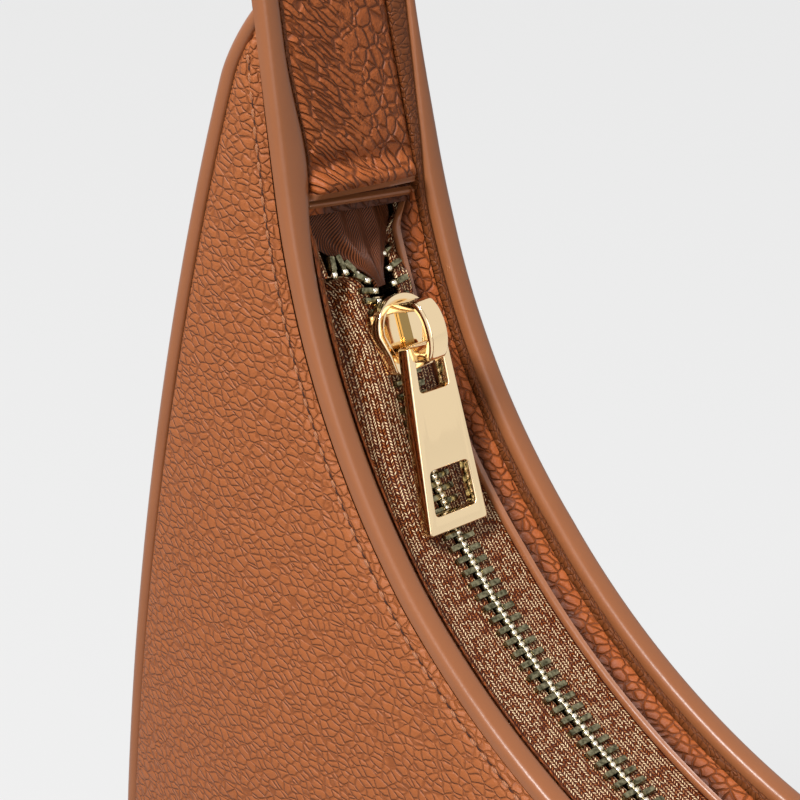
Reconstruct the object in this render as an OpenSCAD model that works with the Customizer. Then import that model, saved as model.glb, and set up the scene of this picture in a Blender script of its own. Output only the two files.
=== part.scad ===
// Crescent shoulder bag in pebbled leather, closed by a metal zip along its curved mouth.
// Millimetres. Origin: middle of the base, X along the bag, front at -Y, +Z up.
// Angles along the mouth are counted from its lowest point, negative to the left.

/* [Body] */
// How far each side stands out beyond the mouth's end
flare = 24.2; // [15:0.1:36]
// Depth of the base, front to back
base_depth = 68; // [58:1:80]
// Radius of the two lower corners
corner_r = 82; // [70:1:92]
// Height of the mouth's lowest point above the base
mouth_h = 135; // [120:1:155]
// How evenly the depth tapers up to the horns: 1 is straight, less keeps the sides full for longer
taper = 0.8; // [0.7:0.05:1]
// How far the front and back belly out
bulge = 7; // [3:0.5:9]

/* [Mouth and strap] */
// Radius of the mouth's edge
mouth_r = 117; // [112:1:122]
// Angle at which the edge runs straight into the strap
leg_deg = 80; // [78:1:83]
// Angle of the horns, where the panels end and the strap begins
horn_deg = 94; // [92:0.5:95]
// Length of the straight run below the strap's crown
leg_len = 45; // [35:1:60]
// Width over both edges at the middle of the mouth
mouth_w = 41; // [40:0.5:46]
// Width of the strap at the horns
horn_w = 34.6; // [34:0.2:38]
// Width of the strap at its crown
strap_w = 30; // [28:0.5:34]
// Thickness of the strap
strap_t = 5.5; // [5.5:0.1:7]

/* [Leather] */
// Thickness of the leather of the panels, gusset and strap
leather_t = 1.6; // [1.2:0.1:1.8]
// Width of the painted edge at the mouth
rim_w = 4.6; // [4:0.1:4.8]
// Width of the painted edge on the strap
strap_rim_w = 3.2; // [3:0.1:4]
// Height of the painted edge above the panel
rim_h = 2.5; // [2:0.1:3]
// Depth to which the edge's tongue reaches inside the mouth
tongue_h = 9; // [8:0.2:10]
// Thickness of the tongue
tongue_t = 1.7; // [1.2:0.1:1.8]
// Diameter of the outer seam's bead
bead_d = 3; // [2.4:0.1:3.4]
// Thickness of the cloth lining
lining_t = 0.6; // [0.4:0.1:0.8]
// Thickness of the stiffening behind the panels
stiff_t = 0.6; // [0.4:0.1:0.8]
// Thickness of the base board
board_t = 1.4; // [1:0.1:1.6]

/* [Inside the mouth] */
// Width of the narrow strip beside the edge
strip_w = 1.4; // [1:0.1:1.6]
// Width of that strip on the strap
strap_strip_w = 2.6; // [2:0.1:2.8]
// Height of the strip
strip_h = 4; // [3:0.2:4.4]
// How far the facing reaches in from the strip
facing_w = 4; // [3:0.1:4.4]
// Thickness of the facing
facing_t = 1.4; // [1:0.1:1.6]
// Angle at which the strap's lining ends
lining_deg = 78.5; // [78:0.1:79]
// Angle at which the end patch starts
patch_deg = 77.2; // [76.8:0.1:77.6]

/* [Zip] */
// Depth of the zip's middle below the mouth's edge
zip_depth = 7; // [6.6:0.1:8]
// Width of the closed teeth
chain_w = 6.3; // [5.8:0.1:6.4]
// Height of a tooth
tooth_h = 3; // [2.6:0.1:3.2]
// Length of a tooth along the zip
tooth_l = 1.05; // [0.9:0.05:1.1]
// Spacing of the teeth of one row
tooth_pitch = 2.38; // [2.36:0.02:2.6]
// Thickness of the tape
tape_t = 0.8; // [0.6:0.1:0.9]
// Gap between the two tapes under the teeth
tape_gap = 2; // [1.8:0.1:2.2]
// Distance along the zip from the folded twill to the closed slider
closed_gap = 19.46; // [16:0.02:23]
// How much tighter the slider's arc is than the zip's: the zip rises towards its ends
rise = 7.3; // [6:0.1:8]
// Angle of the bottom stop at the far end
stop_deg = 64; // [62:0.5:66]

/* [Slider] */
// Length of the slider's body
slider_l = 13.5; // [13:0.1:14]
// Width at the shoulders
slider_w = 11.8; // [11.6:0.1:12.4]
// Width at the tail
tail_w = 8.6; // [8.4:0.1:9]
// Height over both plates
slider_h = 7.2; // [7:0.1:7.6]
// Thickness of a plate
plate_t = 1.5; // [1.2:0.1:1.6]
// Slot for the tape
tape_slot = 1.8; // [1.6:0.1:1.9]
// Height of the bridge above the top plate
bridge_h = 9; // [8.6:0.1:9.6]
// Length of the bridge
bridge_l = 12; // [11.8:0.1:12.6]
// Width of the bridge
bridge_w = 4; // [3.6:0.1:4.2]
// Thickness of the bridge's band
band_t = 1.8; // [1.4:0.1:2]

/* [Pull tab] */
// Length of the pull
pull_l = 32; // [30:0.5:34]
// Width at its free end
pull_w = 13.2; // [12.6:0.1:14]
// Width at the slider
pull_top_w = 9.6; // [9.4:0.1:10.4]
// Thickness of the pull
pull_t = 2.6; // [2.2:0.1:2.8]
// Diameter of the bar that passes through the bridge
bar_d = 2; // [1.8:0.1:2.2]
// Length of the window at the slider
eye_l = 6; // [5.8:0.1:6.6]
// Width of that window
eye_w = 5.8; // [5.6:0.1:6]
// Length of the lower window
window_l = 7.6; // [6:0.1:8]
// Width of the lower window
window_w = 7.6; // [6:0.1:8]

/* [Hidden] */

// Clearances: between sewn layers, and of what slides or swings
fit = 0.2;
play = 0.3;
// Overrun of a cut
over = 1;

// Heights and places that follow
arc_z = mouth_h + mouth_r;
horn_r = (mouth_r + strap_t + leather_t) / cos(horn_deg - leg_deg);
horn_x = horn_r * sin(horn_deg);
half_w = horn_x + flare;
flat_half = half_w - corner_r;
base_deg = atan(flat_half / arc_z);
side_deg = atan(half_w / (arc_z - corner_r));
horn_z = arc_z - horn_r * cos(horn_deg);
side_dx = half_w - horn_x;
side_dz = horn_z - corner_r;
side_r = (side_dx * side_dx + side_dz * side_dz) / (2 * side_dx);
crown_r = mouth_r + leg_len / tan(leg_deg);
crown_z = leg_len * sin(leg_deg) + (crown_r - mouth_r) * cos(leg_deg);
// Angle from which the mouth narrows towards the horns
narrow_deg = 45;

// Numbers of steps along the mouth, a leg, the crown, and the outline's base, corner and side
mouth_n = 36;
leg_n = 3;
crown_n = 22;
base_n = 4;
corner_n = 8;
flank_n = 13;

function mix(a, b, f) = a + (b - a) * f;

// A station is [x, z, nx, nz, t]: place from the arc's middle, outward normal, angle
function mouth_at(t) = [mouth_r * sin(t), -mouth_r * cos(t), sin(t), -cos(t), t];
function leg_at(s) =
  let (x = mouth_r * sin(leg_deg) + s * cos(leg_deg), z = s * sin(leg_deg) - mouth_r * cos(leg_deg))
  [x, z, sin(leg_deg), -cos(leg_deg), atan2(x, -z)];
function crown_at(a) =
  let (x = crown_r * cos(a), z = crown_z + crown_r * sin(a))
  [x, z, cos(a), sin(a), atan2(x, -z)];
function flip_x(s) = [-s[0], s[1], -s[2], s[3], -s[4]];
function reversed(list) = [for (i = [len(list) - 1 : -1 : 0]) list[i]];

mouth_sts = [for (i = [0 : mouth_n]) mouth_at(mix(-leg_deg, leg_deg, i / mouth_n))];
leg_sts = [for (i = [1 : leg_n - 1]) leg_at(leg_len * i / leg_n)];
crown_sts = [for (i = [0 : crown_n]) crown_at(mix(leg_deg - 90, 270 - leg_deg, i / crown_n))];
over_sts = concat(leg_sts, crown_sts, reversed([for (s = leg_sts) flip_x(s)]));
loop_sts = concat(mouth_sts, over_sts);
lining_ends = [mouth_at(lining_deg), mouth_at(leg_deg)];
lining_sts = concat(lining_ends, over_sts, reversed([for (s = lining_ends) flip_x(s)]));
strap_start = leg_at(mouth_r * tan(horn_deg - leg_deg) + fit);
strap_sts = concat([strap_start], crown_sts, [flip_x(strap_start)]);

// Half width of mouth and strap, and share of the way from the mouth's section to the strap's
function half_at(t) =
  let (a = abs(t))
  a <= narrow_deg ? mouth_w / 2
  : a <= horn_deg ? mix(mouth_w, horn_w, (a - narrow_deg) / (horn_deg - narrow_deg)) / 2
  : mix(horn_w, strap_w, (a - horn_deg) / (180 - horn_deg)) / 2;
function strap_share(t) = min(1, max(0, (abs(t) - leg_deg) / (horn_deg - leg_deg)));

// Point of a station: d in from the side face, q out from the edge line
function edge_pt(s, side, d, q) =
  [s[0] + s[2] * q, side * (half_at(s[4]) - d), arc_z + s[1] + s[3] * q];

// Outline of the body: distance from the arc's middle along a ray
function ray(cx, cz, r, t) =
  let (b = cx * sin(abs(t)) - cz * cos(t))
  b + sqrt(b * b - cx * cx - cz * cz + r * r);
function out_r(t) =
  abs(t) <= base_deg ? arc_z / cos(t)
  : abs(t) <= side_deg ? ray(flat_half, corner_r - arc_z, corner_r, t)
  : ray(half_w - side_r, corner_r - arc_z, side_r, t);
function in_r(t, q) = (mouth_r + q) / cos(max(0, abs(t) - leg_deg));
function out_half(t) =
  let (z = arc_z - out_r(t) * cos(t))
  let (below = min(1, max(0, (horn_z - z) / (horn_z - corner_r))))
  mix(horn_w, base_depth, pow(below, taper)) / 2;

half_ts = concat(
  [for (i = [0 : base_n - 1]) base_deg * i / base_n],
  [for (i = [0 : corner_n - 1]) mix(base_deg, side_deg, i / corner_n)],
  [for (i = [0 : flank_n]) mix(side_deg, horn_deg, i / flank_n)]
);
out_ts = concat([for (i = [len(half_ts) - 1 : -1 : 1]) -half_ts[i]], half_ts);
coarse_ts = [for (i = [0 : 2 : len(out_ts) - 1]) out_ts[i]];

function unit(v) = v / norm(v);
function out_normal(t) =
  let (r = out_r(t), x = r * sin(abs(t)), z = -r * cos(t))
  let (n = abs(t) <= base_deg ? [0, -1]
         : abs(t) <= side_deg ? unit([x - flat_half, z - corner_r + arc_z])
         : unit([x - half_w + side_r, z - corner_r + arc_z]))
  [sign(t) * n[0], n[1]];
// Cosine of the angle between the outline's normal and the ray from the arc's middle
function slant(t) = let (n = out_normal(t)) n[0] * sin(t) - n[1] * cos(t);
// Point of the outline, moved in by the depth and set at y
function out_pt(t, y, depth) =
  let (r = out_r(t), n = out_normal(t))
  [r * sin(t) - n[0] * depth, y, arc_z - r * cos(t) - n[1] * depth];

// Point of a panel: share v of the way from the mouth to the outer seam, moved in by the depth
edge_gap = fit + bead_d;
wall_rows = [0, 0.12, 0.3, 0.5, 0.7, 0.88, 1];
function wall_pt(t, side, v, depth, q, back) =
  let (r0 = in_r(t, q), r1 = out_r(t) - back / slant(t), r = mix(r0, r1, v))
  let (u = (r - in_r(t, 0)) / (out_r(t) - in_r(t, 0)))
  let (belly = min(bulge, (out_r(t) - in_r(t, 0)) * bulge / mouth_h) * 4 * u * (1 - u))
  [r * sin(t), side * (mix(half_at(t), out_half(t), u) + belly - depth), arc_z - r * cos(t)];

// Solid over a list of rings with equally many points each; cap lists the faces that close its ends
module skin(rings, closed = false, turned = false, cap = []) {
  n = len(rings[0]);
  m = len(rings);
  ends = len(cap) > 0 ? cap : [[for (j = [0 : n - 1]) j]];
  quads = [for (i = [0 : m - (closed ? 1 : 2)], j = [0 : n - 1])
    let (k = (i + 1) % m, l = (j + 1) % n)
    [i * n + j, i * n + l, k * n + l, k * n + j]];
  sides = [for (f = quads) each [[f[0], f[1], f[2]], [f[0], f[2], f[3]]]];
  caps = closed ? [] : concat([for (f = ends) reversed(f)], [for (f = ends) [for (j = f) (m - 1) * n + j]]);
  faces = concat(sides, caps);
  polyhedron([for (r = rings) each r], turned ? [for (f = faces) reversed(f)] : faces);
}

// Band along the mouth and strap: its section goes from the mouth's to the strap's
module edge_band(sts, side, mouth_section, strap_section, closed = true)
  skin([for (s = sts)
         [for (p = mix(mouth_section, strap_section, strap_share(s[4]))) edge_pt(s, side, p[0], p[1])]],
       closed, side > 0);

// Flat band across the strap, from one side to the other
module cross_band(sts, inset, q0, q1)
  skin([for (s = sts)
         [edge_pt(s, 1, inset, q0), edge_pt(s, -1, inset, q0), edge_pt(s, -1, inset, q1), edge_pt(s, 1, inset, q1)]]);

// End faces of a thin section that has n points along each of its two sides
function strip_cap(n) = [for (j = [0 : n - 2]) [j, j + 1, 2 * n - 2 - j, 2 * n - 1 - j]];

// Sheet that follows a panel
module wall_sheet(ts, side, depth, thick, q, back, rows = wall_rows)
  skin([for (t = ts)
         concat([for (v = rows) wall_pt(t, side, v, depth, q, back)],
                [for (v = reversed(rows)) wall_pt(t, side, v, depth + thick, q, back)])],
       turned = side > 0, cap = strip_cap(len(rows)));

// Strip that follows the outline
module out_strip(ts, inset, depth, thick)
  skin([for (t = ts)
         let (y = out_half(t) - inset)
         [out_pt(t, -y, depth), out_pt(t, y, depth), out_pt(t, y, depth + thick), out_pt(t, -y, depth + thick)]]);

// Rounded top of an edge, as shares of its width and height
round_shares = [[0, 1], [0, 0.45], [0.18, 0.1], [0.5, 0], [0.82, 0.1], [1, 0.45], [1, 1]];
function rim_section(w, reach) = concat(
  [for (s = round_shares) [s[0] * w, s[1] * rim_h]],
  [[leather_t + fit + tongue_t, rim_h + fit], [leather_t + fit + tongue_t, reach],
   [leather_t + fit, reach], [leather_t + fit, rim_h]]);
module rim(side)
  edge_band(loop_sts, side, rim_section(rim_w, tongue_h),
            rim_section(strap_rim_w, strap_t - leather_t - fit));

// Narrow strip beside the edge: [d, q] of its corners
strip_d = rim_w + fit / 2;
strap_strip_d = strap_rim_w + fit;
lining_q = play;
function box_section(d, w, q, h) = [[d, q], [d + w, q], [d + w, q + h], [d, q + h]];
module edge_strip(side)
  edge_band(loop_sts, side, box_section(strip_d, strip_w, rim_h / 2, strip_h),
            box_section(strap_strip_d, strap_strip_w, lining_q, leather_t));

// Facing: slants from the strip down to its thin painted edge above the tape
facing_d = strip_d + strip_w + fit;
facing_q = zip_depth - tape_t / 2 - fit;
facing_edge_d = facing_d + facing_w;
facing_section = [
  [facing_d, rim_h], [facing_edge_d - facing_t / 3, facing_q - facing_t], [facing_edge_d, facing_q - facing_t / 2],
  [facing_edge_d, facing_q], [facing_edge_d - facing_t, facing_q], [facing_d, rim_h + facing_t * 1.4]
];
facing_end_deg = patch_deg - fit;
facing_ts = [for (i = [0 : mouth_n]) mix(-facing_end_deg, facing_end_deg, i / mouth_n)];
module facing(side)
  edge_band([for (t = facing_ts) mouth_at(t)], side, facing_section, facing_section, false);

// End patch under the strap's lining, and the folded twill below it
patch_q = lining_q + leather_t + fit;
patch_len_deg = 6;
module end_patch(end)
  skin([for (i = [0 : 3])
         let (t = end * mix(patch_deg, patch_deg + patch_len_deg, i / 3), r = in_r(t, 0))
         let (s = [r * sin(t), -r * cos(t), sin(t), -cos(t), t])
         [for (p = [[1, patch_q], [-1, patch_q], [-1, patch_q + leather_t], [1, patch_q + leather_t]])
            edge_pt(s, p[0], facing_d + fit, p[1])]],
       turned = end < 0);

twill_t = 1;
twill_deg = 75;
twill_q = facing_q - twill_t + fit / 2;
module twill_fold(end)
  skin([for (t = [twill_deg, facing_end_deg])
         let (s = mouth_at(end * t))
         [for (p = [[1, twill_q], [-1, twill_q], [-1, twill_q + twill_t], [1, twill_q + twill_t]])
            edge_pt(s, p[0], facing_edge_d + play, p[1])]],
       turned = end < 0);

// Zip: its middle line keeps to the slider's arc where the slider stands closed, and runs deeper in between
zip_r = mouth_r + zip_depth;
function zip_deg(length) = length / zip_r * 180 / PI;
closed_deg = twill_deg - zip_deg(closed_gap);
path_r = zip_r - rise;
path_z = arc_z - rise;
rise_start = closed_deg - zip_deg(slider_l * 2.9);
rise_end = closed_deg - zip_deg(slider_l * 0.56);
fall_start = closed_deg + zip_deg(slider_l * 1.2);
function ease(f) = let (c = min(1, max(0, f))) c * c * (3 - 2 * c);
function path_at(t) = rise * cos(t) + sqrt(path_r * path_r - pow(rise * sin(t), 2));
function zip_at(t) =
  let (a = abs(t), up = ease((a - rise_start) / (rise_end - rise_start)))
  let (down = ease((a - fall_start) / (twill_deg - fall_start)))
  mix(zip_r, path_at(t), up * (1 - down));
// Frame on that line: x along it, z to the arc's middle
module on_chain(t) {
  lean = atan((zip_at(t + 0.5) - zip_at(t - 0.5)) / zip_at(t) * 180 / PI);
  translate([0, 0, arc_z]) rotate([0, -t, 0]) translate([0, 0, -zip_at(t)]) rotate([0, lean, 0]) children();
}
pitch_deg = zip_deg(tooth_pitch);

// The rows part inside the slider and curl aside above it
part_slope = 0.3;
front_curl_r = 17;
back_curl_r = 20;
nose_x = -slider_l * 0.48;
tail_x = nose_x + slider_l;
part_x = 1;
curl_y = (part_x - nose_x) * part_slope;
front_free = 3;
back_free = 3;

// The tape's outer edge ends where the rim's tongue begins; above the slider its inner edge follows the teeth
tape_d = leather_t + fit + tongue_t + play * 2;
function curl_deg(n, curl_r) = n * tooth_pitch / curl_r * 180 / PI;
function tape_in(t, curl_r, free_n) =
  let (s = (-closed_deg - t) * PI / 180 * zip_r, last = curl_r * sin(curl_deg(free_n - 0.3, curl_r)) + tooth_l)
  let (beyond = min(max(0, s + nose_x), last))
  tape_gap / 2 + max(0, min(s + part_x, part_x - nose_x)) * part_slope
  + curl_r - sqrt(curl_r * curl_r - beyond * beyond);
tape_end_deg = facing_end_deg;
fine_n = 40;
tape_ts = concat(
  [-tape_end_deg],
  [for (i = [0 : fine_n]) mix(-twill_deg, -rise_start, i / fine_n)],
  [for (i = [1 : mouth_n]) mix(-rise_start, rise_start, i / mouth_n)],
  [for (i = [1 : fine_n]) mix(rise_start, twill_deg, i / fine_n)],
  [tape_end_deg]
);
// It lies flat between the slider's plates, then drops to the facing's edge and runs on under it
module tape(side, curl_r, free_n)
  skin([for (t = tape_ts)
         let (s = mouth_at(t), y4 = half_at(t) - tape_d, y1 = min(tape_in(t, curl_r, free_n), y4 - tape_t * 2))
         let (y_edge = half_at(t) - facing_edge_d - play)
         let (y2 = max(y1 + tape_t / 4, min(slider_w / 2 + play * 2, y_edge - tape_t)), y3 = max(y2 + tape_t / 4, y_edge))
         let (low = zip_depth - tape_t / 2, high = zip_at(t) - mouth_r - tape_t / 2)
         [for (p = [[y4, low], [y3, low], [y2, high], [y1, high],
                    [y1, high + tape_t], [y2, high + tape_t], [y3, low + tape_t], [y4, low + tape_t]])
            edge_pt(s, side, half_at(t) - p[0], p[1])]],
       turned = side > 0, cap = strip_cap(4));

// One tooth: clamps the tape's edge, its head points across the middle
head = 0.55;
root = chain_w / 2;
clamp = tape_t / 2 + fit / 2;
module tooth(side)
  rotate([90, 0, 90])
    translate([0, 0, -tooth_l / 2])
      linear_extrude(tooth_l)
        polygon([for (p = [[-head, -tooth_h / 3], [-head, tooth_h / 3], [0, tooth_h / 2], [root, tooth_h / 2],
                           [root, clamp], [tape_gap / 2 - fit, clamp], [tape_gap / 2 - fit, -clamp],
                           [root, -clamp], [root, -tooth_h / 2], [0, -tooth_h / 2]])
                   [side * p[0], p[1]]]);

row_deg = closed_deg - zip_deg(part_x + tooth_l);
row_n = floor((row_deg + stop_deg) / pitch_deg - 1);
inside_n = floor((part_x - nose_x) / tooth_pitch);
module teeth(side, shift, curl_r, free_n) {
  for (i = [0 : row_n]) on_chain(-row_deg + (i + shift) * pitch_deg) tooth(side);
  for (i = [1 : inside_n])
    let (x = part_x - (i - shift) * tooth_pitch)
    on_chain(-closed_deg + zip_deg(x))
      translate([0, side * (part_x - x) * part_slope, 0]) rotate([0, 0, side * atan(part_slope)]) tooth(side);
  for (i = [0 : free_n - 1])
    let (a = curl_deg(i + 0.7, curl_r))
    on_chain(-closed_deg + zip_deg(nose_x - curl_r * sin(a)))
      translate([0, side * (curl_y + curl_r * (1 - cos(a))), 0]) rotate([0, 0, side * a]) tooth(side);
}

// Slider: two plates on a neck, with flanges that guide the teeth
plate_z = slider_h / 2 - plate_t;
shoulder_x = nose_x + slider_l * 0.25;
plate_outline = [
  [nose_x, slider_w * 0.28], [shoulder_x - slider_l * 0.06, slider_w / 2], [shoulder_x + slider_l * 0.12, slider_w / 2],
  [tail_x - slider_l * 0.35, tail_w / 2], [tail_x, tail_w / 2]
];
neck_t = 1.2;
neck_l = slider_l * 0.2;
module plate()
  linear_extrude(plate_t) polygon(concat(plate_outline, reversed([for (p = plate_outline) [p[0], -p[1]]])));
module flange(side)
  linear_extrude(plate_z - tape_slot / 2)
    polygon([for (p = [[tail_x, tail_w / 2], [tail_x - slider_l * 0.35, tail_w / 2],
                       [shoulder_x + slider_l * 0.12, slider_w / 2], [shoulder_x - slider_l * 0.06, slider_w / 2],
                       [shoulder_x - slider_l * 0.06, slider_w / 2 - plate_t / 2], [shoulder_x, slider_w / 2 - plate_t / 2],
                       [part_x + tooth_l, root + play], [tail_x, root + play]])
               [p[0], side * p[1]]]);
module slider_body()
  color("goldenrod")
    on_chain(-closed_deg) {
      translate([0, 0, plate_z]) plate();
      translate([0, 0, -plate_z - plate_t]) plate();
      translate([nose_x, -neck_t / 2, -plate_z]) cube([neck_l, neck_t, plate_z * 2]);
      for (side = [-1, 1]) {
        translate([0, 0, tape_slot / 2]) flange(side);
        translate([0, 0, -plate_z]) flange(side);
      }
    }

// Bridge: an arch along the slider, open crosswise
bridge_x = (nose_x + tail_x) / 2;
arch_n = 10;
function arch(l, h, z) = concat(
  [[bridge_x + l / 2, z]],
  [for (i = [0 : arch_n]) let (a = 180 * i / arch_n) [bridge_x + l / 2 * cos(a), z + h * 0.45 + h * 0.55 * sin(a)]],
  [[bridge_x - l / 2, z]]
);
module slider_bridge()
  color("gold")
    on_chain(-closed_deg)
      rotate([90, 0, 0])
        translate([0, 0, -bridge_w / 2])
          linear_extrude(bridge_w)
            difference() {
              polygon(arch(bridge_l, bridge_h, slider_h / 2));
              polygon(arch(bridge_l - band_t * 2, bridge_h - band_t, slider_h / 2));
              translate([bridge_x - bridge_l / 2 + band_t, slider_h / 2 - over])
                square([bridge_l - band_t * 2, over * 2]);
            }

// Spring leaf under the bridge that locks the slider
leaf_t = 0.5;
module lock_spring()
  color("silver")
    on_chain(-closed_deg)
      translate([bridge_x - bridge_l / 2 + band_t + fit, -bridge_w / 4, slider_h / 2 + fit / 2])
        cube([bridge_l - band_t * 2 - fit * 2, bridge_w / 2, leaf_t]);

// Pull tab: hangs by its bar in the bridge and rests on the teeth
bar_x = bridge_x + bridge_l / 2 - band_t - bar_d / 2 - fit;
bar_z = slider_h / 2 + (bridge_h - band_t) / 2;
tip_x = bar_x + pull_l - bar_d / 2;
tip_deg = zip_deg(tip_x) - closed_deg;
tip_z = path_r - sqrt(path_r * path_r - tip_x * tip_x) - zip_at(tip_deg) + path_at(tip_deg) + tooth_h / 2 + fit;
rest_deg = asin((bar_z - pull_t / 2 - tip_z) / (pull_l - bar_d / 2));
module pull_tab()
  color("khaki")
    on_chain(-closed_deg)
      translate([bar_x, 0, bar_z])
        rotate([0, rest_deg, 0]) {
          difference() {
            translate([0, 0, -pull_t / 2])
              linear_extrude(pull_t)
                polygon([[bar_d / 2, pull_top_w / 2], [pull_l - bar_d / 2, pull_w / 2],
                         [pull_l - bar_d / 2, -pull_w / 2], [bar_d / 2, -pull_top_w / 2],
                         [0, -pull_top_w / 2], [0, pull_top_w / 2]]);
            translate([-over, -eye_w / 2, -pull_t]) cube([bar_d / 2 + eye_l + over, eye_w, pull_t * 2]);
            translate([pull_l - bar_d - window_l - bar_d, -window_w / 2, -pull_t])
              cube([window_l, window_w, pull_t * 2]);
          }
          rotate([90, 0, 0]) cylinder(d = bar_d, h = pull_top_w - fit, center = true, $fn = 32);
          for (side = [-1, 1])
            translate([0, side * (eye_w + pull_top_w) / 4, 0])
              rotate([90, 0, 0])
                cylinder(d = pull_t, h = (pull_top_w - eye_w) / 2, center = true, $fn = 32);
        }

// The outer shell
module front_panel() color("sienna") wall_sheet(out_ts, -1, 0, leather_t, rim_h + fit, edge_gap);
module back_panel() color("sienna") wall_sheet(out_ts, 1, 0, leather_t, rim_h + fit, edge_gap);
module gusset() color("peru") out_strip(out_ts, edge_gap, 0, leather_t);
bead_sides = 8;
module seam_bead(side)
  skin([for (t = out_ts)
         [for (i = [0 : bead_sides - 1])
            let (a = 360 * (i + 0.5) / bead_sides)
            out_pt(t, side * (out_half(t) - bead_d / 2 * (1 - cos(a))), bead_d / 2 * (1 - sin(a)))]],
       turned = side < 0);
module front_seam_bead() color("chocolate") seam_bead(-1);
module back_seam_bead() color("chocolate") seam_bead(1);
module front_rim() color("rosybrown") rim(-1);
module back_rim() color("rosybrown") rim(1);
module front_edge_strip() color("saddlebrown") edge_strip(-1);
module back_edge_strip() color("saddlebrown") edge_strip(1);
module front_facing() color("sienna") facing(-1);
module back_facing() color("sienna") facing(1);
module left_end_patch() color("saddlebrown") end_patch(-1);
module right_end_patch() color("saddlebrown") end_patch(1);
module left_twill_fold() color("maroon") twill_fold(-1);
module right_twill_fold() color("maroon") twill_fold(1);
module front_zip_tape() color("brown") tape(-1, front_curl_r, front_free);
module back_zip_tape() color("brown") tape(1, back_curl_r, back_free);
module front_teeth() color("darkkhaki") teeth(-1, 0, front_curl_r, front_free);
module back_teeth() color("darkkhaki") teeth(1, 0.5, back_curl_r, back_free);
stop_l = 3;
module bottom_stop()
  color("darkkhaki")
    on_chain(stop_deg + zip_deg(stop_l))
      difference() {
        cube([stop_l, chain_w, tooth_h], center = true);
        for (side = [-1, 1])
          translate([0, side * (tape_gap / 2 + chain_w / 2 - fit), 0])
            cube([stop_l + over, chain_w, tape_t + fit], center = true);
      }

// The strap
module strap_outer()
  color("sienna")
    skin([for (s = strap_sts)
           let (q0 = rim_h + fit, q1 = strap_t - leather_t)
           [edge_pt(s, 1, 0, q0), edge_pt(s, 1, leather_t, q0), edge_pt(s, 1, leather_t, q1),
            edge_pt(s, -1, leather_t, q1), edge_pt(s, -1, leather_t, q0), edge_pt(s, -1, 0, q0),
            edge_pt(s, -1, 0, strap_t), edge_pt(s, 1, 0, strap_t)]],
         cap = [[0, 1, 2, 7], [2, 3, 6, 7], [3, 4, 5, 6]]);
lining_d = max(strip_d + strip_w, strap_strip_d + strap_strip_w) + fit;
module strap_lining() color("saddlebrown") cross_band(lining_sts, lining_d, lining_q, lining_q + leather_t);
module strap_filler()
  color("tan") cross_band(strap_sts, strap_rim_w + fit * 2, lining_q + leather_t + fit, strap_t - leather_t - fit);

// Stiffening and linings, below the rim's tongue
inner_q = tongue_h + play * 2;
stiff_depth = leather_t + fit;
lining_depth = stiff_depth + stiff_t + play;
inner_back = edge_gap + fit;
// They end where the panel gets narrow
inner_ts = [for (t = coarse_ts) if (out_r(t) - inner_back / slant(t) - in_r(t, inner_q) > tongue_h) t];
module front_stiffener() color("gainsboro") wall_sheet(inner_ts, -1, stiff_depth, stiff_t, inner_q, inner_back);
module back_stiffener() color("gainsboro") wall_sheet(inner_ts, 1, stiff_depth, stiff_t, inner_q, inner_back);
module front_lining() color("tan") wall_sheet(inner_ts, -1, lining_depth, lining_t, inner_q, inner_back);
module back_lining() color("tan") wall_sheet(inner_ts, 1, lining_depth, lining_t, inner_q, inner_back);
gusset_depth = leather_t + fit * 2 + board_t;
module gusset_lining()
  color("tan") out_strip(coarse_ts, lining_depth + lining_t + play, gusset_depth, lining_t);
pocket_ts = [for (t = coarse_ts) if (abs(t) <= base_deg * 1.2) t];
module slip_pocket()
  color("burlywood")
    wall_sheet(pocket_ts, 1, lining_depth + lining_t + fit, lining_t, inner_q, inner_back, [0.3, 0.5, 0.7, 0.88]);
module base_board()
  color("dimgray")
    translate([-flat_half, -base_depth / 2 + lining_depth + lining_t, leather_t + fit])
      cube([flat_half * 2, base_depth - (lining_depth + lining_t) * 2, board_t]);

// Thread of the seam along the mouth
thread_q = rim_h + 2.8;
thread_w = 0.7;
thread_t = 0.4;
module thread(side)
  skin([for (t = out_ts)
         [for (p = [[0, 0], [thread_w, 0], [thread_w, thread_t], [0, thread_t]])
            let (q = mix(thread_q + p[0], rim_h + fit + p[0], strap_share(t)))
            wall_pt(t, side, 0, -fit / 4 - p[1], q, edge_gap)]],
       turned = side < 0);
module front_thread() color("peru") thread(-1);
module back_thread() color("peru") thread(1);

front_panel();
back_panel();
gusset();
front_seam_bead();
back_seam_bead();
front_rim();
back_rim();
front_edge_strip();
back_edge_strip();
front_facing();
back_facing();
left_end_patch();
right_end_patch();
left_twill_fold();
right_twill_fold();
front_zip_tape();
back_zip_tape();
front_teeth();
back_teeth();
bottom_stop();
slider_body();
slider_bridge();
lock_spring();
pull_tab();
strap_outer();
strap_lining();
strap_filler();
front_stiffener();
back_stiffener();
front_lining();
back_lining();
gusset_lining();
slip_pocket();
base_board();
front_thread();
back_thread();
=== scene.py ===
import math

import bmesh
import bpy
from mathutils import Matrix, Vector


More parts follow.
